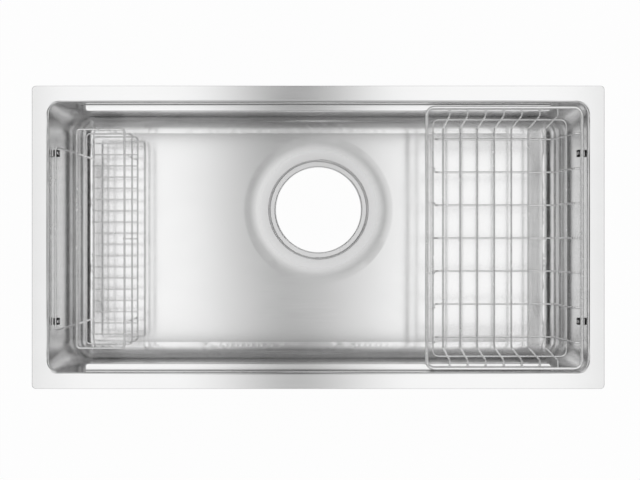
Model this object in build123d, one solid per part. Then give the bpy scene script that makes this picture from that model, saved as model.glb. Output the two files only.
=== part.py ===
from build123d import *

import os

# The origin is the centre of the flange's top face, where the sink meets the underside of a counter.
# +X runs along the sink to the right, +Y to the back and +Z up. All sizes are in millimetres.

# Pressed bowl
SHEET = 1.2
FLANGE_LENGTH = 850.0
FLANGE_WIDTH = 450.0
FLANGE_CORNER_RADIUS = 6.0
FLANGE_BORDER = 25.0
BOWL_DEPTH = 200.0
# The upright corners widen from the top to the floor
TOP_CORNER_RADIUS = 17.0
FLOOR_CORNER_RADIUS = 32.0
FLOOR_BEND_RADIUS = 25.0
RIM_BEND_RADIUS = 4.0
FLANGE_EDGE_RADIUS = 0.8
# Rise of the floor for each millimetre away from the drain
FLOOR_FALL = 0.008

# Stepped drain recess, with the hole's edge drawn down into a short collar
DRAIN_TO_BACK_WALL = 153.0
DRAIN_SEAT_DIAMETER = 164.0
DRAIN_HOLE_DIAMETER = 143.0
DRAIN_SEAT_DROP = 6.0
DRAIN_BEND_RADIUS = 3.0
DRAIN_RIM_WIDTH = 5.0
DRAIN_COLLAR_DROP = 5.0

# Shallow dish pressed into the floor round the recess
DISH_DEPTH = 1.2
DISH_TO_DRAIN_RIM = 5.0
DISH_TO_FLOOR_BEND = 13.0
DISH_INNER_BEND_RADIUS = 150.0
DISH_OUTER_BEND_RADIUS = 450.0

# Ledge rails welded along the two long walls
RAIL_TO_END_WALL = 49.0
RAIL_WIDTH = 10.5
RAIL_HEIGHT = 10.0
RAIL_DROP = 20.0
RAIL_SHEET = 1.2
RAIL_CORNER_RADIUS = 4.5
RAIL_BEND_RADIUS = 1.6

# Wall hooks and the rubber saddles in them
HOOK_TO_SIDE_WALL = 73.0
HOOK_WIDTH = 10.0
HOOK_SHEET = 1.2
HOOK_DROP = 21.5
HOOK_HEIGHT = 16.0
HOOK_REACH = 8.0
HOOK_BEND_RADIUS = 1.8
TONGUE_WIDTH = 4.4
SADDLE_DROP = 24.5
SADDLE_CLEARANCE = 0.1
# How far the hanging bar's centre lies below the top of its saddle
BAR_BELOW_SADDLE_TOP = 0.6
HANG_CLEARANCE = 0.3

# Sound-deadening pads on the outside of the bowl
PAD_THICKNESS = 3.0
PAD_CORNER_RADIUS = 12.0
FLOOR_PAD_TO_DISH = 25.0
FLOOR_PAD_TO_END_WALL = 60.0
FLOOR_PAD_TO_SIDE_WALL = 50.0
WALL_PAD_DROP = 55.0
WALL_PAD_TO_FLOOR = 45.0
WALL_PAD_TO_END_WALL = 140.0

# How deep one welded wire is pressed into another
WELD_SINK = 0.3

# Sliding dish rack
RACK_TO_END_WALL = 2.4
RACK_TO_SIDE_WALLS = 2.0
RACK_SHIFT_Y = -1.0
RACK_REST_GAP = 0.3
RACK_RIM_LENGTH = 232.4
RACK_RIM_CORNER_RADIUS = 12.0
RACK_RIM_WIRE = 5.0
RACK_WIRE = 2.8
RACK_STUB = 11.5
RACK_TAPER = 10.5
RACK_DEPTH = 85.2
RACK_TOP_BEND_RADIUS = 4.0
RACK_BOTTOM_BEND_RADIUS = 6.0
RACK_WIRE_END = 1.5
RACK_BELT_WIRE = 2.5
RACK_BELT_DROP = 36.5
RACK_BELT_CORNER_RADIUS = 9.0
RACK_CROSS_WIRE_COUNT = 7
RACK_LONG_WIRE_COUNT = 7
# From the foot of a slope to the first wire that runs along it
RACK_CROSS_WIRE_INSET = 12.9
RACK_LONG_WIRE_INSET = 16.6

# Hanging basket
BASKET_SHIFT_Y = -2.0
BASKET_TO_SIDE_WALLS = 34.0
BASKET_WIDTH = 70.0
BASKET_TO_END_WALL = 31.9
BASKET_RIM_DROP = 48.0
BASKET_RIM_WIRE = 3.0
BASKET_RING_WIRE = 2.5
BASKET_BELT_DROP = 64.0
BASKET_HEIGHT = 113.0
BASKET_CORNER_RADIUS = 5.0
BASKET_FLOOR_WIRE = 2.0
BASKET_FLOOR_WIRE_COUNT = 18
BASKET_FLOOR_WIRE_INSET = 9.6
HANGER_WIRE = 3.0
HANGER_BAR_PAST_HOOK = 6.5
HANGER_ARM_LEAN = 8.5
HANGER_BAR_TO_WALL = 3.9
HANGER_KNEE_RISE = 6.0
HANGER_BAR_BEND_RADIUS = 3.0
HANGER_KNEE_BEND_RADIUS = 5.0
UPRIGHT_WIRE = 2.5

# Places that follow from the sizes above
BOWL_LENGTH = FLANGE_LENGTH - 2 * FLANGE_BORDER
BOWL_WIDTH = FLANGE_WIDTH - 2 * FLANGE_BORDER
WALL_X = BOWL_LENGTH / 2
WALL_Y = BOWL_WIDTH / 2
SEAT_RADIUS = DRAIN_SEAT_DIAMETER / 2
HOLE_RADIUS = DRAIN_HOLE_DIAMETER / 2
RECESS_RADIUS = SEAT_RADIUS + DRAIN_RIM_WIDTH
DRAIN_Y = WALL_Y - DRAIN_TO_BACK_WALL
DISH_INNER_RADIUS = RECESS_RADIUS + DISH_TO_DRAIN_RIM
DISH_OUTER_RADIUS = DRAIN_TO_BACK_WALL - FLOOR_BEND_RADIUS - DISH_TO_FLOOR_BEND
TONGUE_HEIGHT = HOOK_HEIGHT - HOOK_SHEET - HOOK_BEND_RADIUS
GROOVE_RADIUS = HANGER_WIRE / 2 + HANG_CLEARANCE
HANGER_BAR_Z = -SADDLE_DROP - BAR_BELOW_SADDLE_TOP
HOOK_SPACING = BOWL_WIDTH - 2 * HOOK_TO_SIDE_WALL
HANGER_BAR_LENGTH = HOOK_SPACING + HOOK_WIDTH + 2 * HANGER_BAR_PAST_HOOK
HANGER_LEG_SPACING = HANGER_BAR_LENGTH - 2 * HANGER_ARM_LEAN
BASKET_LENGTH = BOWL_WIDTH - 2 * BASKET_TO_SIDE_WALLS
RACK_RIM_WIDTH = BOWL_WIDTH - 2 * RACK_TO_SIDE_WALLS - RACK_RIM_WIRE


def upright_prism(length, width, corner_radius, bottom, top):
    """A block with rounded upright corners between two heights."""
    outline = Pos(0, 0, bottom) * RectangleRounded(length, width, corner_radius)
    return extrude(outline, amount=top - bottom)


def bowl_outline(growth, depth):
    """The bowl's inside outline at a depth, grown outward."""
    widening = (FLOOR_CORNER_RADIUS - TOP_CORNER_RADIUS) * depth / BOWL_DEPTH
    return Pos(0, 0, -depth) * RectangleRounded(
        BOWL_LENGTH + 2 * growth,
        BOWL_WIDTH + 2 * growth,
        TOP_CORNER_RADIUS + widening + growth,
    )


def space_over_floor(drop):
    """Everything above the bowl's falling floor and its dish, lowered by drop, as a wide shallow funnel."""
    reach = FLANGE_LENGTH
    bottom = -BOWL_DEPTH - drop
    dish_top = bottom + DISH_DEPTH
    edge = dish_top + (reach - DISH_OUTER_RADIUS) * FLOOR_FALL
    floor_line = FilletPolyline(
        (0, bottom),
        (DISH_INNER_RADIUS, bottom),
        (DISH_OUTER_RADIUS, dish_top),
        (reach, edge),
        radius=[DISH_INNER_BEND_RADIUS, DISH_OUTER_BEND_RADIUS],
    )
    top_line = Polyline((reach, edge), (reach, BOWL_DEPTH), (0, BOWL_DEPTH), (0, bottom))
    # The funnel's seam runs to the middle of the back wall, away from the corners
    funnel = revolve(make_face(Plane.YZ * (floor_line + top_line)), Axis.Z)
    return Pos(0, DRAIN_Y, 0) * funnel


def is_at_wall(point):
    """True for a point on one of the flat walls, false for one out on the floor."""
    at_end = abs(point.X) > WALL_X - SHEET
    at_side = abs(point.Y) > WALL_Y - SHEET
    return at_end or at_side


def runs_round_floor(edge):
    """True for an edge where the floor meets the walls, false for uprights and edges in the floor."""
    is_low = edge.bounding_box().max.Z < -BOWL_DEPTH / 2
    return is_low and is_at_wall(edge.position_at(0)) and is_at_wall(edge.position_at(1))


def bowl_form(growth):
    """The inside form of the bowl, grown outward on its walls and floor."""
    below_floor = BOWL_DEPTH + FLOOR_BEND_RADIUS
    block = loft([bowl_outline(growth, 0), bowl_outline(growth, below_floor)], ruled=True)
    form = block & space_over_floor(growth)
    return fillet(form.edges().filter_by(runs_round_floor), FLOOR_BEND_RADIUS + growth)


def drain_recess():
    """The pressed step round the drain hole: a lip at floor level, a short wall, a seat and a collar."""
    seat = -DRAIN_SEAT_DROP
    collar_end = seat - DRAIN_COLLAR_DROP
    outer_bend = DRAIN_BEND_RADIUS
    inner_bend = DRAIN_BEND_RADIUS - SHEET
    upper = FilletPolyline(
        (RECESS_RADIUS, 0),
        (SEAT_RADIUS, 0),
        (SEAT_RADIUS, seat),
        (HOLE_RADIUS, seat),
        (HOLE_RADIUS, collar_end),
        radius=[outer_bend, inner_bend, outer_bend],
    )
    lower = FilletPolyline(
        (HOLE_RADIUS + SHEET, collar_end),
        (HOLE_RADIUS + SHEET, seat - SHEET),
        (SEAT_RADIUS + SHEET, seat - SHEET),
        (SEAT_RADIUS + SHEET, -SHEET),
        (RECESS_RADIUS, -SHEET),
        radius=[inner_bend, outer_bend, inner_bend],
    )
    ends = Line(upper @ 1, lower @ 0) + Line(lower @ 1, upper @ 0)
    section = make_face(Plane.XZ * (upper + lower + ends))
    return Pos(0, DRAIN_Y, -BOWL_DEPTH) * revolve(section, Axis.Z)


def edges_round_opening(sheet, height):
    """The edges at this height that run round the bowl's opening, not round the flange."""
    middle_of_flange = (WALL_X + FLANGE_LENGTH / 2) / 2, (WALL_Y + FLANGE_WIDTH / 2) / 2

    def is_round_opening(edge):
        box = edge.bounding_box()
        level = abs(box.min.Z - height) < SHEET / 10 and abs(box.max.Z - height) < SHEET / 10
        inside_x = max(-box.min.X, box.max.X) < middle_of_flange[0]
        inside_y = max(-box.min.Y, box.max.Y) < middle_of_flange[1]
        return level and inside_x and inside_y

    return sheet.edges().filter_by(is_round_opening)


def bowl():
    """The bowl, flange and drain recess, pressed from one sheet."""
    flange = upright_prism(FLANGE_LENGTH, FLANGE_WIDTH, FLANGE_CORNER_RADIUS, -SHEET, 0)
    flange = fillet(flange.faces().sort_by(Axis.Z)[-1].edges(), FLANGE_EDGE_RADIUS)
    sheet = flange + bowl_form(SHEET)
    sheet = fillet(edges_round_opening(sheet, -SHEET), RIM_BEND_RADIUS - SHEET)
    sheet -= bowl_form(0)
    sheet = fillet(edges_round_opening(sheet, 0), RIM_BEND_RADIUS)
    drain_cut = Cylinder(RECESS_RADIUS, 4 * SHEET)
    sheet -= Pos(0, DRAIN_Y, -BOWL_DEPTH) * drain_cut
    return sheet + drain_recess()


def rail(side):
    """A folded ledge, open underneath, on the back wall (side 1) or the front wall (side -1)."""
    top = -RAIL_DROP
    middle = side * (WALL_Y - RAIL_WIDTH / 2)
    length = BOWL_LENGTH - 2 * RAIL_TO_END_WALL
    block = Pos(0, middle, top - RAIL_HEIGHT / 2) * Box(length, RAIL_WIDTH, RAIL_HEIGHT)
    away_from_wall = block.edges().filter_by(Axis.Z).group_by(Axis.Y)[0 if side > 0 else -1]
    block = fillet(away_from_wall, RAIL_CORNER_RADIUS)
    block = fillet(block.faces().sort_by(Axis.Z)[-1].edges(), RAIL_BEND_RADIUS)
    underside = block.faces().sort_by(Axis.Z)[0]
    return offset(block, -RAIL_SHEET, openings=underside)


def hook():
    """A stamped hook for a wall at X = 0, reaching towards +X: back plate, shelf and narrow tongue."""
    half = HOOK_SHEET / 2
    shelf = -HOOK_DROP - HOOK_HEIGHT + half
    path = FilletPolyline(
        (half, 0, -HOOK_DROP),
        (half, 0, shelf),
        (HOOK_REACH - half, 0, shelf),
        (HOOK_REACH - half, 0, -HOOK_DROP),
        radius=HOOK_BEND_RADIUS,
    )
    start = Plane(origin=path @ 0, x_dir=(0, 1, 0), z_dir=path % 0)
    strip = sweep(start * Rectangle(HOOK_WIDTH, HOOK_SHEET), path)
    side_width = (HOOK_WIDTH - TONGUE_WIDTH) / 2
    for side in (-1, 1):
        side_cut = Pos(
            HOOK_REACH - half,
            side * (TONGUE_WIDTH + side_width) / 2,
            -HOOK_DROP - TONGUE_HEIGHT / 2,
        ) * Box(2 * HOOK_SHEET, side_width, TONGUE_HEIGHT)
        strip -= side_cut
    tongue_corners = strip.edges().filter_by(Axis.X).group_by(Axis.Z)[-1].sort_by(Axis.X)[-2:]
    return fillet(tongue_corners, TONGUE_WIDTH / 3)


def saddle():
    """The rubber block in a hook: a body on the shelf, a cheek at each side of the tongue, a groove."""
    shelf = -HOOK_DROP - HOOK_HEIGHT + HOOK_SHEET
    body_height = -SADDLE_DROP - shelf
    body_depth = HOOK_REACH - 2 * HOOK_SHEET
    body = Pos(
        HOOK_SHEET + body_depth / 2, 0, shelf + body_height / 2
    ) * Box(body_depth, HOOK_WIDTH, body_height)
    lower_edges = body.faces().sort_by(Axis.Z)[0].edges().filter_by(Axis.Y)
    block = fillet(lower_edges, HOOK_BEND_RADIUS - HOOK_SHEET / 2)
    cheek_width = (HOOK_WIDTH - TONGUE_WIDTH) / 2 - SADDLE_CLEARANCE
    cheek_height = TONGUE_HEIGHT - (SADDLE_DROP - HOOK_DROP)
    for side in (-1, 1):
        block += Pos(
            HOOK_REACH - HOOK_SHEET / 2,
            side * (HOOK_WIDTH - cheek_width) / 2,
            -SADDLE_DROP - cheek_height / 2,
        ) * Box(HOOK_SHEET, cheek_width, cheek_height)
    groove_outline = Circle(GROOVE_RADIUS) + Pos(0, HANGER_WIRE) * Rectangle(
        2 * GROOVE_RADIUS, 2 * HANGER_WIRE
    )
    groove = extrude(
        Plane.XZ * Pos(HANGER_BAR_TO_WALL, HANGER_BAR_Z) * groove_outline,
        amount=HOOK_WIDTH,
        both=True,
    )
    return block - groove


def on_walls(piece):
    """The piece made for a wall at X = 0, placed at the four hook places: name ending to solid."""
    places = {}
    for end_name, end in (("left", -1), ("right", 1)):
        turned = piece if end < 0 else Rot(0, 0, 180) * piece
        for side_name, side in (("back", 1), ("front", -1)):
            place = Pos(end * WALL_X, side * HOOK_SPACING / 2, 0)
            places[f"{end_name}_{side_name}"] = place * turned
    return places


def floor_pad(side):
    """A pad under the floor, left (side -1) or right (side 1) of the drain."""
    near_drain = DISH_OUTER_RADIUS + FLOOR_PAD_TO_DISH
    near_end = WALL_X - FLOOR_PAD_TO_END_WALL
    width = BOWL_WIDTH - 2 * FLOOR_PAD_TO_SIDE_WALL
    column = Pos(side * (near_drain + near_end) / 2, 0, 0) * upright_prism(
        near_end - near_drain, width, PAD_CORNER_RADIUS, -2 * BOWL_DEPTH, 0
    )
    return (column & space_over_floor(SHEET + PAD_THICKNESS)) - space_over_floor(SHEET)


def wall_pad(side):
    """A pad on the outside of the back wall (side 1) or the front wall (side -1)."""
    length = BOWL_LENGTH - 2 * WALL_PAD_TO_END_WALL
    height = BOWL_DEPTH - WALL_PAD_DROP - WALL_PAD_TO_FLOOR
    face = Plane(
        origin=(0, side * (WALL_Y + SHEET), -WALL_PAD_DROP - height / 2),
        x_dir=(1, 0, 0),
        z_dir=(0, side, 0),
    )
    outline = face * RectangleRounded(length, height, PAD_CORNER_RADIUS)
    return extrude(outline, amount=PAD_THICKNESS, dir=(0, side, 0))


def wire_along(path, diameter):
    """A round wire whose centre line is the path."""
    start = Plane(origin=path @ 0, z_dir=path % 0)
    return sweep(start * Circle(diameter / 2), path)


def wire_ring(length, width, corner_radius, diameter, height):
    """A flat closed ring of round wire; length, width and radius are of its centre line."""
    outline = Pos(0, 0, height) * RectangleRounded(length, width, corner_radius)
    return wire_along(outline.wire(), diameter)


def evenly_spaced(count, reach):
    """Places in a row from -reach to reach."""
    return [reach * (2 * number / (count - 1) - 1) for number in range(count)]


def rack_foot(rim_width):
    """How far from the rack's middle its floor ends, across a rim of this width."""
    return rim_width / 2 - RACK_STUB - RACK_TAPER


def rack_wire(rim_width, floor_z, plane):
    """One bent wire of the rack: end under the rim, short run inward, slope, floor and back up."""
    stub_z = -RAIL_DROP + RACK_REST_GAP + RACK_WIRE / 2
    half_rim = rim_width / 2
    knee = half_rim - RACK_STUB
    foot = rack_foot(rim_width)
    right_half = [
        (foot, floor_z),
        (knee, stub_z),
        (half_rim + RACK_WIRE_END, stub_z),
    ]
    left_half = [(-across, height) for across, height in reversed(right_half)]
    bends = [
        RACK_TOP_BEND_RADIUS,
        RACK_BOTTOM_BEND_RADIUS,
        RACK_BOTTOM_BEND_RADIUS,
        RACK_TOP_BEND_RADIUS,
    ]
    path = plane * FilletPolyline(*left_half, *right_half, radius=bends)
    return wire_along(path, RACK_WIRE)


def dish_rack():
    """The rack that slides along the rails: node name to solid."""
    stub_z = -RAIL_DROP + RACK_REST_GAP + RACK_WIRE / 2
    rim_z = stub_z + (RACK_WIRE + RACK_RIM_WIRE) / 2 - WELD_SINK
    cross_floor = stub_z - RACK_DEPTH
    long_floor = cross_floor - RACK_WIRE + WELD_SINK
    belt_lean = RACK_TAPER * RACK_BELT_DROP / RACK_DEPTH
    belt_inset = RACK_STUB + belt_lean - (RACK_WIRE + RACK_BELT_WIRE) / 2 + WELD_SINK
    pieces = {
        "rack_rim": wire_ring(
            RACK_RIM_LENGTH, RACK_RIM_WIDTH, RACK_RIM_CORNER_RADIUS, RACK_RIM_WIRE, rim_z
        ),
        "rack_belt_ring": wire_ring(
            RACK_RIM_LENGTH - 2 * belt_inset,
            RACK_RIM_WIDTH - 2 * belt_inset,
            RACK_BELT_CORNER_RADIUS,
            RACK_BELT_WIRE,
            stub_z - RACK_BELT_DROP,
        ),
    }
    cross_wire = rack_wire(RACK_RIM_WIDTH, cross_floor, Plane.YZ)
    reach = rack_foot(RACK_RIM_LENGTH) - RACK_CROSS_WIRE_INSET
    for number, x in enumerate(evenly_spaced(RACK_CROSS_WIRE_COUNT, reach), 1):
        pieces[f"rack_cross_wire_{number}"] = Pos(x, 0, 0) * cross_wire
    long_wire = rack_wire(RACK_RIM_LENGTH, long_floor, Plane.XZ)
    reach = rack_foot(RACK_RIM_WIDTH) - RACK_LONG_WIRE_INSET
    for number, y in enumerate(evenly_spaced(RACK_LONG_WIRE_COUNT, reach), 1):
        pieces[f"rack_long_wire_{number}"] = Pos(0, y, 0) * long_wire
    middle_x = WALL_X - RACK_TO_END_WALL - (RACK_RIM_LENGTH + RACK_RIM_WIRE) / 2
    place = Pos(middle_x, RACK_SHIFT_Y, 0)
    return {name: place * piece for name, piece in pieces.items()}


def basket_ring(diameter, height):
    """A ring whose inner faces stand at the basket's inner length and width."""
    return wire_ring(
        BASKET_WIDTH + diameter, BASKET_LENGTH + diameter, BASKET_CORNER_RADIUS, diameter, height
    )


def basket_hanger(base_z):
    """The bar that lies in the hooks, with an arm and a leg at each end, bent from one wire."""
    bar_x = -BASKET_WIDTH / 2 - BASKET_TO_END_WALL + HANGER_BAR_TO_WALL
    leg_x = -BASKET_WIDTH / 2 + HANGER_WIRE / 2 - WELD_SINK
    knee_z = -BASKET_RIM_DROP + HANGER_KNEE_RISE
    back_half = [
        (bar_x, HANGER_BAR_LENGTH / 2, HANGER_BAR_Z),
        (leg_x, HANGER_LEG_SPACING / 2, knee_z),
        (leg_x, HANGER_LEG_SPACING / 2, base_z),
    ]
    front_half = [(x, -y, z) for x, y, z in reversed(back_half)]
    bends = [
        HANGER_KNEE_BEND_RADIUS,
        HANGER_BAR_BEND_RADIUS,
        HANGER_BAR_BEND_RADIUS,
        HANGER_KNEE_BEND_RADIUS,
    ]
    path = FilletPolyline(*front_half, *back_half, radius=bends)
    return wire_along(path, HANGER_WIRE)


def basket():
    """The basket that hangs on the left hooks: node name to solid."""
    rim_z = -BASKET_RIM_DROP
    base_z = rim_z - BASKET_HEIGHT
    floor_z = base_z + (BASKET_RING_WIRE + BASKET_FLOOR_WIRE) / 2 - WELD_SINK
    pieces = {
        "basket_rim_ring": basket_ring(BASKET_RIM_WIRE, rim_z),
        "basket_belt_ring": basket_ring(BASKET_RING_WIRE, rim_z - BASKET_BELT_DROP),
        "basket_base_ring": basket_ring(BASKET_RING_WIRE, base_z),
        "basket_hanger": basket_hanger(base_z),
    }
    upright_x = BASKET_WIDTH / 2 - UPRIGHT_WIRE / 2 + WELD_SINK
    upright = Pos(upright_x, 0, (rim_z + base_z) / 2) * Cylinder(
        UPRIGHT_WIRE / 2, BASKET_HEIGHT
    )
    upright_places = (("back", 1), ("middle", 0), ("front", -1))
    for name, side in upright_places:
        pieces[f"basket_upright_{name}"] = Pos(0, side * HANGER_LEG_SPACING / 2, 0) * upright
    floor_wire = Pos(0, 0, floor_z) * Rot(0, 90, 0) * Cylinder(
        BASKET_FLOOR_WIRE / 2, BASKET_WIDTH + 2 * BASKET_RING_WIRE
    )
    reach = BASKET_LENGTH / 2 - BASKET_FLOOR_WIRE_INSET
    for number, y in enumerate(evenly_spaced(BASKET_FLOOR_WIRE_COUNT, reach), 1):
        pieces[f"basket_floor_wire_{number}"] = Pos(0, y, 0) * floor_wire
    place = Pos(-WALL_X + BASKET_TO_END_WALL + BASKET_WIDTH / 2, BASKET_SHIFT_Y, 0)
    return {name: place * piece for name, piece in pieces.items()}


def sink_pieces():
    """Every piece of the sink: node name to solid."""
    pieces = {"bowl": bowl(), "back_rail": rail(1), "front_rail": rail(-1)}
    for place, piece in on_walls(hook()).items():
        pieces[f"hook_{place}"] = piece
    for place, piece in on_walls(saddle()).items():
        pieces[f"saddle_{place}"] = piece
    pieces["floor_pad_left"] = floor_pad(-1)
    pieces["floor_pad_right"] = floor_pad(1)
    pieces["wall_pad_back"] = wall_pad(1)
    pieces["wall_pad_front"] = wall_pad(-1)
    pieces.update(dish_rack())
    pieces.update(basket())
    return pieces


os.makedirs("parts", exist_ok=True)
for node, piece in sink_pieces().items():
    export_step(piece, f"parts/{node}.step")
    print(node, round(piece.volume, 1))
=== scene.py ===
"""Dresses an undermount stainless steel sink with its sliding dish rack and hanging basket."""

import logging
import math
import random
from collections.abc import Iterable
from dataclasses import dataclass, field
from enum import Enum

import bmesh
import bpy
from mathutils import Matrix, Vector, noise


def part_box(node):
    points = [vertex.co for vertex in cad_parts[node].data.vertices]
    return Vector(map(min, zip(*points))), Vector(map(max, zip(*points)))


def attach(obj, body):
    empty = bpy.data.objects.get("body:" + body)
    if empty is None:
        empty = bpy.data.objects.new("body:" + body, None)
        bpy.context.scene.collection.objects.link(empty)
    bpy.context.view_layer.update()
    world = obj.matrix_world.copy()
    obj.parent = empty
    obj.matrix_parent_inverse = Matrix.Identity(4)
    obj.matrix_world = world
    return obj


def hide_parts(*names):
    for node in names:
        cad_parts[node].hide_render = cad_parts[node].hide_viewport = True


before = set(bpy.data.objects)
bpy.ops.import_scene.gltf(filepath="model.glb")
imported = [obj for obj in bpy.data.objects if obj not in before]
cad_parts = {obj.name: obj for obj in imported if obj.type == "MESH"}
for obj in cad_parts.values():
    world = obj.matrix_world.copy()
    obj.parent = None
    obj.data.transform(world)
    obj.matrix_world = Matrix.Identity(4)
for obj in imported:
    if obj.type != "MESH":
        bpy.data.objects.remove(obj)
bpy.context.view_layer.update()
log = logging.getLogger("sink")

MM = 0.001
# When a plain piece is softened: points closer than SAME_POINT are one, faces that turn by less than FLAT_TURN
# degrees are one, and edges that turn by more than SHARP_TURN degrees are rounded
SAME_POINT = 0.002 * MM
FLAT_TURN = 1.0
SHARP_TURN = 30.0
# How high the fine marks on steel and the grain of rubber stand
STEEL_RELIEF = 0.1 * MM
RUBBER_RELIEF = 0.3 * MM
# How deep one welded wire is pressed into another
WELD_SINK = 0.3 * MM
# The part of a noise pattern's range that most of its values fall in, and the same for fine lines
NOISE_LOW, NOISE_HIGH = 0.3, 0.7
LINES_LOW, LINES_HIGH = 0.25, 0.75
WHITE = (1.0, 1.0, 1.0, 1.0)


class Body(Enum):
    """The parts of the sink that move as one."""

    SINK = "sink"
    RACK = "dish_rack"
    BASKET = "hanging_basket"


class Slot(Enum):
    """The record's material slots."""

    HOOK = "hook_steel"
    SADDLE = "saddle_rubber"
    PAD = "pad_rubber"
    RACK_WIRE = "rack_wire_steel"
    BASKET_WIRE = "basket_wire_steel"


class Bench:
    """Adds and joins the nodes of one material or world."""

    def __init__(self, tree: bpy.types.NodeTree) -> None:
        """Starts with an empty tree.

        Args:
            tree: The node tree to fill.
        """
        self.tree = tree
        tree.nodes.clear()

    def add(self, kind: str, **settings: object) -> bpy.types.Node:
        """Adds a node.

        Args:
            kind: The node's type, such as ShaderNodeTexNoise.
            settings: Properties of the node to set.

        Returns:
            The new node.
        """
        node = self.tree.nodes.new(kind)
        for name, value in settings.items():
            setattr(node, name, value)
        return node

    def feed(self, socket: bpy.types.NodeSocket, value: object) -> None:
        """Joins another node's output to a socket, or sets the socket's own value.

        Args:
            socket: The socket to feed.
            value: An output socket, a number or a tuple.
        """
        if isinstance(value, bpy.types.NodeSocket):
            self.tree.links.new(value, socket)
        else:
            socket.default_value = value

    def show(self, surface: bpy.types.NodeSocket) -> None:
        """Makes a shader the material's surface.

        Args:
            surface: The shader's socket.
        """
        output = self.tree.nodes.get("Material Output") or self.add("ShaderNodeOutputMaterial")
        self.feed(output.inputs["Surface"], surface)

    def maths(self, operation: str, first: object, second: object = 0.0) -> bpy.types.NodeSocket:
        """A maths step on one or two values.

        Args:
            operation: The name of the operation.
            first: The first value or output socket.
            second: The second value or output socket.

        Returns:
            The result's socket.
        """
        node = self.add("ShaderNodeMath", operation=operation)
        self.feed(node.inputs[0], first)
        self.feed(node.inputs[1], second)
        return node.outputs[0]

    def ramp(self, value: object, low: float, high: float, start: float, end: float) -> bpy.types.NodeSocket:
        """Stretches a value from one range to another, and holds it at the ends.

        Args:
            value: The value or output socket to stretch.
            low: The value that gives start.
            high: The value that gives end.
            start: The result at low.
            end: The result at high.

        Returns:
            The result's socket.
        """
        node = self.add("ShaderNodeMapRange")
        for place, number in enumerate((value, low, high, start, end)):
            self.feed(node.inputs[place], number)
        return node.outputs[0]

    def noise(self, stretch: tuple[float, float, float], detail: float = 2.0) -> bpy.types.NodeSocket:
        """Noise over the piece's own place in metres.

        Args:
            stretch: How many ups and downs there are in a metre, along each axis.
            detail: How much finer noise is added.

        Returns:
            The noise's socket, from 0 to 1.
        """
        place = self.add("ShaderNodeTexCoord").outputs["Object"]
        mapping = self.add("ShaderNodeMapping")
        self.feed(mapping.inputs["Vector"], place)
        self.feed(mapping.inputs["Scale"], stretch)
        texture = self.add("ShaderNodeTexNoise")
        self.feed(texture.inputs["Vector"], mapping.outputs[0])
        self.feed(texture.inputs["Scale"], 1.0)
        self.feed(texture.inputs["Detail"], detail)
        return texture.outputs["Fac"]

    def shade(self, colour: tuple[float, float, float], value: object) -> bpy.types.NodeSocket:
        """A colour made lighter or darker by a value round 1.

        Args:
            colour: The colour in linear red, green and blue.
            value: The factor's socket.

        Returns:
            The colour's socket.
        """
        node = self.add("ShaderNodeVectorMath", operation="SCALE")
        self.feed(node.inputs[0], colour)
        self.feed(node.inputs["Scale"], value)
        return node.outputs[0]

    def relief(self, height: object, strength: float, distance: float) -> bpy.types.NodeSocket:
        """A surface direction roughened by a height pattern.

        Args:
            height: The pattern's socket.
            strength: How much of the relief shows, from 0 to 1.
            distance: How high the pattern stands, in metres.

        Returns:
            The direction's socket.
        """
        bump = self.add("ShaderNodeBump")
        bump.inputs["Strength"].default_value = strength
        bump.inputs["Distance"].default_value = distance
        self.feed(bump.inputs["Height"], height)
        return bump.outputs[0]


def new_bench(name: str) -> tuple[bpy.types.Material, Bench, bpy.types.Node]:
    """A new material with an empty bench and its main shader.

    Args:
        name: The material's name.

    Returns:
        The material, the bench and the main shader.
    """
    material = bpy.data.materials.new(name)
    material.use_nodes = True
    bench = Bench(material.node_tree)
    shader = bench.add("ShaderNodeBsdfPrincipled")
    bench.show(shader.outputs[0])
    return material, bench, shader


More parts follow.
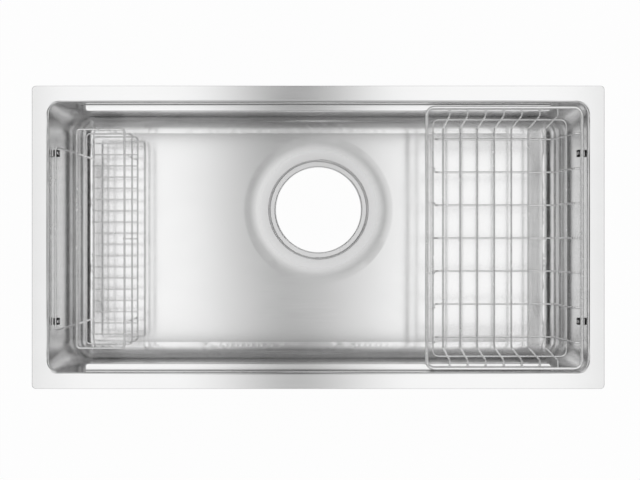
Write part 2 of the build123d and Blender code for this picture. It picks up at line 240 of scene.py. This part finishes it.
@dataclass(frozen=True)
class BrushedSteel:
    """Satin sheet steel, with brush lines that run along the sink and up its end walls."""

    name: str
    colour: tuple[float, float, float] = (0.82, 0.82, 0.82)
    roughness: float = 0.17
    wall_roughness: float = 0.18
    outside_shade: float = 0.8
    outside_roughness: float = 0.42
    anisotropy: float = 0.8
    lines_in_a_metre: float = 4200.0
    lines_along: float = 14.0
    line_shade: float = 0.03
    line_roughness: float = 0.05
    line_depth: float = 0.02
    # How far the sheet faces an end, where the lines turn from along the sink to up the wall
    end_low: float = 0.6
    end_high: float = 0.8
    # How far the sheet faces up or down, where a wall's finish turns into the floor's
    level_low: float = 0.1
    level_high: float = 0.6
    # A point above the bowl that the inside faces, and how sharply inside and outside part
    above_bowl: tuple[float, float, float] = (0.0, 0.0, 0.3)
    outside_edge: float = 0.005
    stains_in_a_metre: float = 9.0
    stain_shade: float = 0.05
    blotches_in_a_metre: tuple[float, float, float] = (14.0, 22.0, 22.0)
    blotch_roughness: float = 0.01
    # The pressed recess of the drain, which is duller and spreads the light evenly to all sides
    drain_place: tuple[float, float, float] = (0.0, 0.047, 0.0)
    drain_near: float = 0.088
    drain_far: float = 0.112
    drain_roughness: float = 0.36

    def brush_lines(self, bench: Bench) -> tuple[bpy.types.NodeSocket, bpy.types.NodeSocket, bpy.types.NodeSocket]:
        """The brush lines' pattern, the direction across them and how far the surface faces up or down.

        Args:
            bench: The material's bench.

        Returns:
            The pattern's socket, from 0 to 1, the direction's socket, and the socket that is 1 on level sheet.
        """
        facing = bench.add("ShaderNodeNewGeometry").outputs["Normal"]
        parts = bench.add("ShaderNodeSeparateXYZ")
        bench.feed(parts.inputs[0], facing)
        level = bench.maths("ABSOLUTE", parts.outputs["Z"])
        fine, along = self.lines_in_a_metre, self.lines_along
        to_end = bench.maths("ABSOLUTE", parts.outputs["X"])
        pattern = bench.add("ShaderNodeMix", data_type="FLOAT")
        bench.feed(pattern.inputs[0], bench.ramp(to_end, self.end_low, self.end_high, 0.0, 1.0))
        bench.feed(pattern.inputs[2], bench.noise((along, fine, fine), 3.0))
        bench.feed(pattern.inputs[3], bench.noise((fine, fine, along), 3.0))
        across = bench.add("ShaderNodeCombineXYZ")
        bench.feed(across.inputs["Y"], bench.maths("ADD", parts.outputs["Z"], to_end))
        bench.feed(across.inputs["Z"], bench.maths("MULTIPLY", parts.outputs["Y"], -1.0))
        return pattern.outputs[0], across.outputs[0], level

    def outside(self, bench: Bench) -> bpy.types.NodeSocket:
        """Where the sheet faces away from the inside of the bowl, and was left as it came from the press.

        Args:
            bench: The material's bench.

        Returns:
            The socket that is 0 inside and 1 outside.
        """
        away = bench.add("ShaderNodeVectorMath", operation="SUBTRACT")
        bench.feed(away.inputs[0], bench.add("ShaderNodeTexCoord").outputs["Object"])
        bench.feed(away.inputs[1], self.above_bowl)
        facing = bench.add("ShaderNodeVectorMath", operation="DOT_PRODUCT")
        bench.feed(facing.inputs[0], bench.add("ShaderNodeNewGeometry").outputs["Normal"])
        bench.feed(facing.inputs[1], away.outputs[0])
        return bench.ramp(facing.outputs["Value"], -self.outside_edge, self.outside_edge, 0.0, 1.0)

    def off_drain(self, bench: Bench) -> bpy.types.NodeSocket:
        """How far the sheet is from the pressed recess of the drain.

        Args:
            bench: The material's bench.

        Returns:
            The socket that is 0 in the recess and 1 away from it.
        """
        level_place = bench.add("ShaderNodeVectorMath", operation="MULTIPLY")
        bench.feed(level_place.inputs[0], bench.add("ShaderNodeTexCoord").outputs["Object"])
        bench.feed(level_place.inputs[1], (1.0, 1.0, 0.0))
        distance = bench.add("ShaderNodeVectorMath", operation="DISTANCE")
        bench.feed(distance.inputs[0], level_place.outputs[0])
        bench.feed(distance.inputs[1], self.drain_place)
        return bench.ramp(distance.outputs["Value"], self.drain_near, self.drain_far, 0.0, 1.0)

    def material(self) -> bpy.types.Material:
        """Makes the finish.

        Returns:
            The new material.
        """
        material, bench, shader = new_bench(self.name)
        lines, across, level = self.brush_lines(bench)
        outside = self.outside(bench)
        line_shade = bench.ramp(lines, LINES_LOW, LINES_HIGH, 1.0 - self.line_shade, 1.0 + self.line_shade)
        patches = bench.noise((self.stains_in_a_metre,) * 3, 4.0)
        stained = self.outside_shade - self.stain_shade
        stains = bench.ramp(patches, NOISE_LOW, NOISE_HIGH, stained, self.outside_shade)
        shade = bench.maths("MULTIPLY", line_shade, bench.ramp(outside, 0.0, 1.0, 1.0, stains))
        bench.feed(shader.inputs["Base Color"], bench.shade(self.colour, shade))
        half = self.line_roughness / 2
        off_drain = self.off_drain(bench)
        rough_sheet = bench.ramp(level, self.level_low, self.level_high, self.wall_roughness, self.roughness)
        rough_inside = bench.ramp(off_drain, 0.0, 1.0, self.drain_roughness, rough_sheet)
        rough_here = bench.ramp(outside, 0.0, 1.0, rough_inside, self.outside_roughness)
        rough_lines = bench.maths("ADD", rough_here, bench.ramp(lines, LINES_LOW, LINES_HIGH, -half, half))
        blotches, more = bench.noise(self.blotches_in_a_metre, 2.0), self.blotch_roughness
        rough_blotches = bench.ramp(blotches, NOISE_LOW, NOISE_HIGH, -more, more)
        bench.feed(shader.inputs["Roughness"], bench.maths("ADD", rough_lines, rough_blotches))
        shader.inputs["Metallic"].default_value = 1.0
        bench.feed(shader.inputs["Anisotropic"], bench.ramp(off_drain, 0.0, 1.0, 0.0, self.anisotropy))
        bench.feed(shader.inputs["Tangent"], across)
        bench.feed(shader.inputs["Normal"], bench.relief(lines, self.line_depth, STEEL_RELIEF))
        return material


@dataclass(frozen=True)
class PolishedWire:
    """Electropolished steel wire, with faint drawing marks and duller spots."""

    name: str
    colour: tuple[float, float, float] = (0.94, 0.94, 0.94)
    roughness: float = 0.22
    spots_in_a_metre: float = 160.0
    grain_in_a_metre: float = 900.0
    grain_depth: float = 0.06
    # How dark and light the spots are, and how much smoother and duller
    spot_dark: float = 0.95
    spot_light: float = 1.03
    smoother: float = 0.04
    duller: float = 0.06

    def material(self) -> bpy.types.Material:
        """Makes the finish.

        Returns:
            The new material.
        """
        material, bench, shader = new_bench(self.name)
        spots = bench.noise((self.spots_in_a_metre,) * 3, 3.0)
        shade = bench.ramp(spots, NOISE_LOW, NOISE_HIGH, self.spot_dark, self.spot_light)
        bench.feed(shader.inputs["Base Color"], bench.shade(self.colour, shade))
        smoothest, dullest = self.roughness - self.smoother, self.roughness + self.duller
        rough = bench.ramp(spots, NOISE_LOW, NOISE_HIGH, smoothest, dullest)
        bench.feed(shader.inputs["Roughness"], rough)
        shader.inputs["Metallic"].default_value = 1.0
        grain = bench.noise((self.grain_in_a_metre,) * 3, 2.0)
        bench.feed(shader.inputs["Normal"], bench.relief(grain, self.grain_depth, STEEL_RELIEF))
        return material


@dataclass(frozen=True)
class Rubber:
    """Matt rubber with a fine grain."""

    name: str
    colour: tuple[float, float, float]
    roughness: float = 0.6
    grain_in_a_metre: float = 900.0
    grain_depth: float = 0.25
    patches_in_a_metre: float = 30.0
    # How dark and light the patches are, and how much the roughness varies
    patch_dark: float = 0.85
    patch_light: float = 1.2
    rough_change: float = 0.08

    def material(self) -> bpy.types.Material:
        """Makes the finish.

        Returns:
            The new material.
        """
        material, bench, shader = new_bench(self.name)
        grain = bench.noise((self.grain_in_a_metre,) * 3, 3.0)
        patches = bench.noise((self.patches_in_a_metre,) * 3, 3.0)
        shade = bench.ramp(patches, NOISE_LOW, NOISE_HIGH, self.patch_dark, self.patch_light)
        bench.feed(shader.inputs["Base Color"], bench.shade(self.colour, shade))
        smoothest, roughest = self.roughness - self.rough_change, self.roughness + self.rough_change
        rough = bench.ramp(grain, NOISE_LOW, NOISE_HIGH, smoothest, roughest)
        bench.feed(shader.inputs["Roughness"], rough)
        bench.feed(shader.inputs["Normal"], bench.relief(grain, self.grain_depth, RUBBER_RELIEF))
        return material


@dataclass(frozen=True)
class StudioWhite:
    """A matt white that the camera and the steel see as a white sheet, with little of the shadow left on it."""

    name: str
    colour: tuple[float, float, float] = (0.9, 0.9, 0.9)
    roughness: float = 0.9
    sheet_share: float = 0.97

    def material(self) -> bpy.types.Material:
        """Makes the finish.

        Returns:
            The new material.
        """
        material, bench, shader = new_bench(self.name)
        shader.inputs["Base Color"].default_value = (*self.colour, 1.0)
        shader.inputs["Roughness"].default_value = self.roughness
        shader.inputs["Specular IOR Level"].default_value = 0.0
        rays = bench.add("ShaderNodeLightPath").outputs
        seen = bench.maths("MAXIMUM", rays["Is Camera Ray"], rays["Is Glossy Ray"])
        seen = bench.maths("MAXIMUM", seen, rays["Is Transmission Ray"])
        sheet = bench.add("ShaderNodeEmission")
        mixed = bench.add("ShaderNodeMixShader")
        bench.feed(mixed.inputs[0], bench.maths("MULTIPLY", seen, self.sheet_share))
        bench.feed(mixed.inputs[1], shader.outputs[0])
        bench.feed(mixed.inputs[2], sheet.outputs[0])
        bench.show(mixed.outputs[0])
        return material


BOWL_STEEL = BrushedSteel("bowl_steel_satin")
RAIL_STEEL = BrushedSteel("rail_steel_satin", colour=(0.83, 0.83, 0.83))
HOOK_STEEL = BrushedSteel("hook_steel_bright", roughness=0.2, anisotropy=0.4)
RACK_WIRE = PolishedWire("rack_wire_polished")
BASKET_WIRE = PolishedWire("basket_wire_polished")
WELD_STEEL = PolishedWire("weld_steel_polished", colour=(0.78, 0.78, 0.78), roughness=0.27)
SADDLE_RUBBER = Rubber("saddle_rubber_black", (0.02, 0.02, 0.02))
PAD_RUBBER = Rubber("pad_rubber_grey", (0.10, 0.10, 0.105), roughness=0.75, grain_in_a_metre=500.0, grain_depth=0.5)
FLOOR_WHITE = StudioWhite("studio_floor_white")


def dress(nodes: Iterable[str], material: bpy.types.Material) -> None:
    """Gives CAD nodes a finish through their material slots.

    Args:
        nodes: The nodes' names.
        material: The finish.
    """
    for name in nodes:
        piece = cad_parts[name]
        if not piece.material_slots:
            piece.data.materials.append(material)
        for slot in piece.material_slots:
            slot.material = material
        log.info("%s: %s", name, material.name)


def seat(piece: bpy.types.Object, body: Body, material: bpy.types.Material) -> None:
    """Gives a new piece its finish, and the body that carries it.

    Args:
        piece: The new piece.
        body: The body it moves with.
        material: The finish.
    """
    piece.data.materials.append(material)
    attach(piece, body.value)
    log.info("%s: %s", piece.name, material.name)


def new_piece(name: str, shape: bmesh.types.BMesh, smooth_angle: float = 40.0) -> bpy.types.Object:
    """Turns a finished shape into a piece of the scene.

    Args:
        name: The piece's name.
        shape: Its faces. They are freed here.
        smooth_angle: Edges that turn by less than this, in degrees, are shaded smooth.

    Returns:
        The new piece.
    """
    mesh = bpy.data.meshes.new(name)
    shape.to_mesh(mesh)
    shape.free()
    for face in mesh.polygons:
        face.use_smooth = True
    mesh.set_sharp_from_angle(angle=math.radians(smooth_angle))
    piece = bpy.data.objects.new(name, mesh)
    bpy.context.scene.collection.objects.link(piece)
    return piece


def softened(node: str, width: float) -> bpy.types.Object:
    """A copy of a CAD node with its outer edges rounded, which stands for that node.

    Args:
        node: The CAD node's name.
        width: How wide the rounding is, in metres.

    Returns:
        The new piece.
    """
    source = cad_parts[node].data
    shape = bmesh.new()
    corners = [shape.verts.new(vertex.co) for vertex in source.vertices]
    for face in source.polygons:
        shape.faces.new([corners[number] for number in face.vertices])
    bmesh.ops.remove_doubles(shape, verts=shape.verts[:], dist=SAME_POINT)
    flat, sharp = math.radians(FLAT_TURN), math.radians(SHARP_TURN)
    bmesh.ops.dissolve_limit(shape, angle_limit=flat, verts=shape.verts[:], edges=shape.edges[:])
    outer = [edge for edge in shape.edges if edge.is_convex and edge.calc_face_angle(0.0) > sharp]
    bmesh.ops.bevel(
        shape,
        geom=outer,
        offset=width,
        offset_type="OFFSET",
        segments=3,
        profile=0.5,
        affect="EDGES",
        clamp_overlap=True,
    )
    piece = new_piece(f"{node}_softened", shape)
    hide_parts(node)
    return piece


@dataclass(frozen=True)
class WeldBead:
    """A squeezed bead of metal where two wires are welded: its place, the way the wires press, its sizes."""

    place: Vector
    facing: Vector
    radius: float
    thickness: float


@dataclass
class WeldBeads:
    """All the weld beads of one wire piece."""

    name: str
    body: Body
    slot: Slot
    beads: list[WeldBead] = field(default_factory=list)
    # A bead's radius and thickness against its wire's diameter, and how uneven it is
    radius_share: float = 0.62
    thickness_share: float = 0.5
    unevenness: float = 0.1
    bumps: float = 1.7
    smallest: float = 0.92
    largest: float = 1.08

    def add(self, place: tuple[float, float, float], facing: tuple[float, float, float], wire: float) -> None:
        """Adds a bead between two wires.

        Args:
            place: The middle of the weld.
            facing: The direction in which the wires are pressed together.
            wire: The thinner wire's diameter.
        """
        radius, thickness = self.radius_share * wire, self.thickness_share * wire
        self.beads.append(WeldBead(Vector(place), Vector(facing).normalized(), radius, thickness))

    def build(self, material: bpy.types.Material) -> None:
        """Makes one piece of all the beads.

        Args:
            material: The finish.
        """
        chance = random.Random(len(self.beads))
        shape = bmesh.new()
        for bead in self.beads:
            turn = bead.facing.to_track_quat("Z", "Y").to_matrix().to_4x4()
            size = bead.radius * chance.uniform(self.smallest, self.largest)
            swell = Matrix.Diagonal((size, size, bead.thickness / 2, 1.0))
            laid = Matrix.Translation(bead.place) @ turn @ swell
            ball = bmesh.ops.create_uvsphere(shape, u_segments=12, v_segments=7, radius=1.0, matrix=laid)
            # Only this bead's own points move: a slice of all points would also catch points of earlier beads
            for vertex in ball["verts"]:
                outward = vertex.co - bead.place
                lift = noise.noise(vertex.co / bead.radius * self.bumps)
                vertex.co = bead.place + outward * (1.0 + self.unevenness * lift)
        seat(new_piece(self.name, shape), self.body, material)


def middle(node: str) -> Vector:
    """The middle of a CAD node's box.

    Args:
        node: The CAD node's name.

    Returns:
        The middle.
    """
    low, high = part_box(node)
    return (low + high) / 2


@dataclass
class PressedBowl:
    """The bowl with its flange, walls, floor and drain recess."""

    finish: BrushedSteel = BOWL_STEEL

    def build(self) -> None:
        """Dresses the bowl."""
        dress(["bowl"], self.finish.material())


@dataclass
class LedgeRails:
    """The two folded rails that carry the dish rack."""

    finish: BrushedSteel = RAIL_STEEL

    def build(self) -> None:
        """Dresses the rails."""
        dress(["back_rail", "front_rail"], self.finish.material())


@dataclass
class WallHooks:
    """The stamped hooks on the end walls, with their rubber saddles."""

    places: tuple[str, ...] = ("left_back", "left_front", "right_back", "right_front")
    hook_edge: float = 0.22 * MM
    saddle_edge: float = 0.3 * MM

    def build(self) -> None:
        """Makes softened hooks and saddles in the place of the plain ones."""
        steel = HOOK_STEEL.material()
        rubber = SADDLE_RUBBER.material()
        for place in self.places:
            seat(softened(f"hook_{place}", self.hook_edge), Body.SINK, steel)
            seat(softened(f"saddle_{place}", self.saddle_edge), Body.SINK, rubber)


@dataclass
class SoundPads:
    """The pads glued to the outside of the bowl."""

    names: tuple[str, ...] = ("floor_pad_left", "floor_pad_right", "wall_pad_back", "wall_pad_front")
    edge: float = 0.7 * MM

    def build(self) -> None:
        """Makes softened pads in the place of the plain ones."""
        rubber = PAD_RUBBER.material()
        for name in self.names:
            seat(softened(name, self.edge), Body.SINK, rubber)


@dataclass
class DishRack:
    """The wire rack that slides on the rails."""

    wires_each_way: int = 7
    wire: float = 2.8 * MM
    belt_wire: float = 2.5 * MM
    slope_run: float = 10.5 * MM
    slope_drop: float = 85.2 * MM
    finish: PolishedWire = RACK_WIRE

    def names(self, way: str) -> list[str]:
        """The names of the wires that run one way.

        Args:
            way: cross or long.

        Returns:
            The CAD nodes' names.
        """
        return [f"rack_{way}_wire_{number}" for number in range(1, self.wires_each_way + 1)]

    def floor_welds(self, welds: WeldBeads) -> None:
        """Adds the welds where the wires cross at the rack's floor.

        Args:
            welds: The rack's weld beads.
        """
        for cross in self.names("cross"):
            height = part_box(cross)[0].z + WELD_SINK / 2
            for along in self.names("long"):
                welds.add((middle(cross).x, middle(along).y, height), (0.0, 0.0, 1.0), self.wire)

    def ring_welds(self, welds: WeldBeads) -> None:
        """Adds the welds of every wire's ends under the rim and inside the belt ring.

        Args:
            welds: The rack's weld beads.
        """
        rim_low, rim_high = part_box("rack_rim")
        rim_half = (rim_high.z - rim_low.z) / 2
        belt_low, belt_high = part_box("rack_belt_ring")
        belt_z = (belt_low.z + belt_high.z) / 2
        belt_in = self.belt_wire - WELD_SINK / 2
        rim_z = rim_low.z + WELD_SINK / 2
        for name in self.names("cross"):
            x = middle(name).x
            for side, rim_y, belt_y in (
                (-1.0, rim_low.y + rim_half, belt_low.y + belt_in),
                (1.0, rim_high.y - rim_half, belt_high.y - belt_in),
            ):
                welds.add((x, rim_y, rim_z), (0.0, 0.0, 1.0), self.wire)
                welds.add((x, belt_y, belt_z), (0.0, side * self.slope_drop, -self.slope_run), self.belt_wire)
        for name in self.names("long"):
            y = middle(name).y
            for side, rim_x, belt_x in (
                (-1.0, rim_low.x + rim_half, belt_low.x + belt_in),
                (1.0, rim_high.x - rim_half, belt_high.x - belt_in),
            ):
                welds.add((rim_x, y, rim_z), (0.0, 0.0, 1.0), self.wire)
                welds.add((belt_x, y, belt_z), (side * self.slope_drop, 0.0, -self.slope_run), self.belt_wire)

    def build(self) -> None:
        """Dresses the rings and wires, and adds the welds that join them."""
        dress(["rack_rim", "rack_belt_ring", *self.names("cross"), *self.names("long")], self.finish.material())
        welds = WeldBeads("rack_weld_beads", Body.RACK, Slot.RACK_WIRE)
        self.floor_welds(welds)
        self.ring_welds(welds)
        welds.build(WELD_STEEL.material())


@dataclass
class HangingBasket:
    """The wire basket that hangs on the left hooks."""

    floor_wires: int = 18
    floor_wire: float = 2.0 * MM
    ring_wire: float = 2.5 * MM
    finish: PolishedWire = BASKET_WIRE

    def upright_welds(self, welds: WeldBeads) -> None:
        """Adds the welds of the uprights and of the hanger's legs to the three rings.

        Args:
            welds: The basket's weld beads.
        """
        for ring in ("basket_rim_ring", "basket_belt_ring", "basket_base_ring"):
            low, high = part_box(ring)
            thick = high.z - low.z
            height = (low.z + high.z) / 2
            for place in ("back", "middle", "front"):
                y = middle(f"basket_upright_{place}").y
                welds.add((high.x - thick - WELD_SINK / 2, y, height), (1.0, 0.0, 0.0), self.ring_wire)
                if place != "middle":
                    welds.add((low.x + thick + WELD_SINK / 2, y, height), (1.0, 0.0, 0.0), self.ring_wire)

    def floor_welds(self, welds: WeldBeads) -> None:
        """Adds the welds of the floor wires to the base ring.

        Args:
            welds: The basket's weld beads.
        """
        low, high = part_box("basket_base_ring")
        half = self.ring_wire / 2
        for number in range(1, self.floor_wires + 1):
            y = middle(f"basket_floor_wire_{number}").y
            for x in (low.x + half, high.x - half):
                welds.add((x, y, high.z - WELD_SINK / 2), (0.0, 0.0, 1.0), self.floor_wire)

    def build(self) -> None:
        """Dresses the rings and wires, and adds the welds that join them."""
        names = ["basket_rim_ring", "basket_belt_ring", "basket_base_ring", "basket_hanger"]
        names += [f"basket_upright_{place}" for place in ("back", "middle", "front")]
        names += [f"basket_floor_wire_{number}" for number in range(1, self.floor_wires + 1)]
        dress(names, self.finish.material())
        welds = WeldBeads("basket_weld_beads", Body.BASKET, Slot.BASKET_WIRE)
        self.upright_welds(welds)
        self.floor_welds(welds)
        welds.build(WELD_STEEL.material())


@dataclass
class Studio:
    """The pale floor, the room that lights the sink, and the camera."""

    floor_height: float = -0.2112
    floor_size: float = 14.0
    camera_place: tuple[float, float, float] = (0.0027, -0.0040, 1.5)
    camera_lens: float = 56.87
    # The overhead light, and how far along the sink it reaches, as the sine of the lean to that end
    panel: float = 1.17
    end_starts: float = 0.25
    end_stops: float = 0.42
    # How it falls off towards the sides, by the cosine of the lean to that side
    side_shift: float = 0.08
    side_starts: float = 0.97
    side_stops: float = 0.64
    side_low: float = 0.38
    # The dim gap across the middle of the room
    gap_at: float = -0.024
    gap_half: float = 0.09
    gap_back: float = 0.14
    gap_front: float = 0.42
    gap_lean: float = 0.25
    # The room round the light: its levels at the horizon and above, and the pale walls at its two ends
    horizon: float = 0.8
    above: float = 0.38
    horizon_stops: float = 0.2
    above_starts: float = 0.45
    pale_starts: float = 0.86
    pale_stops: float = 0.72
    # The dark strips between the light and the pale end walls
    strip: float = 0.08
    strip_starts: float = 0.5
    strip_stops: float = 0.25

    def floor(self) -> None:
        """Lays the pale floor under the sink."""
        half = self.floor_size / 2
        shape = bmesh.new()
        corners = [(-half, -half), (half, -half), (half, half), (-half, half)]
        shape.faces.new([shape.verts.new((x, y, self.floor_height)) for x, y in corners])
        floor = new_piece("studio_floor", shape)
        floor.data.materials.append(FLOOR_WHITE.material())

    def light_level(self, bench: Bench) -> bpy.types.NodeSocket:
        """The room's light, from a soft overhead light that is dimmer in its middle and a pale room round it.

        Args:
            bench: The world's bench.

        Returns:
            The light's strength in each direction.
        """
        direction = bench.add("ShaderNodeSeparateXYZ")
        bench.feed(direction.inputs[0], bench.add("ShaderNodeTexCoord").outputs["Generated"])
        x, y, z = direction.outputs
        lean = bench.maths("ARCTAN2", y, z)
        upright = bench.maths("COSINE", bench.maths("SUBTRACT", lean, self.side_shift))
        to_end = bench.maths("ABSOLUTE", x)
        side_part = bench.ramp(upright, self.side_stops, self.side_starts, self.side_low, 1.0)
        end_part = bench.ramp(to_end, self.end_starts, self.end_stops, self.panel, 0.0)
        pale_walls = bench.ramp(to_end, self.pale_stops, self.pale_starts, 0.0, self.horizon)
        by_height = bench.ramp(z, self.horizon_stops, self.above_starts, self.horizon, self.above)
        off_strip = bench.ramp(to_end, self.pale_stops, self.pale_starts, self.strip, 1.0)
        beside = bench.ramp(bench.maths("ABSOLUTE", y), self.strip_stops, self.strip_starts, self.strip, 1.0)
        round_light = bench.maths("MULTIPLY", by_height, bench.maths("MAXIMUM", off_strip, beside))
        room = bench.maths("MAXIMUM", round_light, pale_walls)
        light = bench.maths("MAXIMUM", bench.maths("MULTIPLY", side_part, end_part), room)
        in_gap = bench.ramp(lean, -self.gap_lean, self.gap_lean, self.gap_front, self.gap_back)
        off_gap = bench.maths("ABSOLUTE", bench.maths("SUBTRACT", x, self.gap_at))
        return bench.maths("MULTIPLY", light, bench.ramp(off_gap, 0.0, self.gap_half, in_gap, 1.0))

    def world(self) -> None:
        """Lights the sink with the room, and shows the camera a white backdrop."""
        world = bpy.data.worlds.new("studio_room")
        world.use_nodes = True
        bench = Bench(world.node_tree)
        room = bench.add("ShaderNodeBackground")
        bench.feed(room.inputs["Strength"], self.light_level(bench))
        room.inputs["Color"].default_value = WHITE
        backdrop = bench.add("ShaderNodeBackground")
        backdrop.inputs["Color"].default_value = WHITE
        mixed = bench.add("ShaderNodeMixShader")
        bench.feed(mixed.inputs[0], bench.add("ShaderNodeLightPath").outputs["Is Camera Ray"])
        bench.feed(mixed.inputs[1], room.outputs[0])
        bench.feed(mixed.inputs[2], backdrop.outputs[0])
        output = bench.add("ShaderNodeOutputWorld")
        bench.feed(output.inputs["Surface"], mixed.outputs[0])
        bpy.context.scene.world = world

    def camera(self) -> None:
        """Sets the camera straight above the sink."""
        lens = bpy.data.cameras.new("camera")
        lens.sensor_width = 36.0
        lens.lens = self.camera_lens
        lens.clip_start = 0.05
        lens.clip_end = 50.0
        holder = bpy.data.objects.new("camera", lens)
        holder.location = self.camera_place
        bpy.context.scene.collection.objects.link(holder)
        bpy.context.scene.camera = holder

    def build(self) -> None:
        """Sets up the whole studio."""
        self.floor()
        self.world()
        self.camera()
        bpy.context.scene.view_settings.view_transform = "Standard"


def main() -> None:
    """Builds every sub-assembly in order, then the studio."""
    logging.basicConfig(level=logging.INFO, format="%(name)s %(message)s")
    for assembly in (PressedBowl(), LedgeRails(), WallHooks(), SoundPads(), DishRack(), HangingBasket(), Studio()):
        assembly.build()
        log.info("%s done", type(assembly).__name__)


if __name__ == "__main__":
    main()
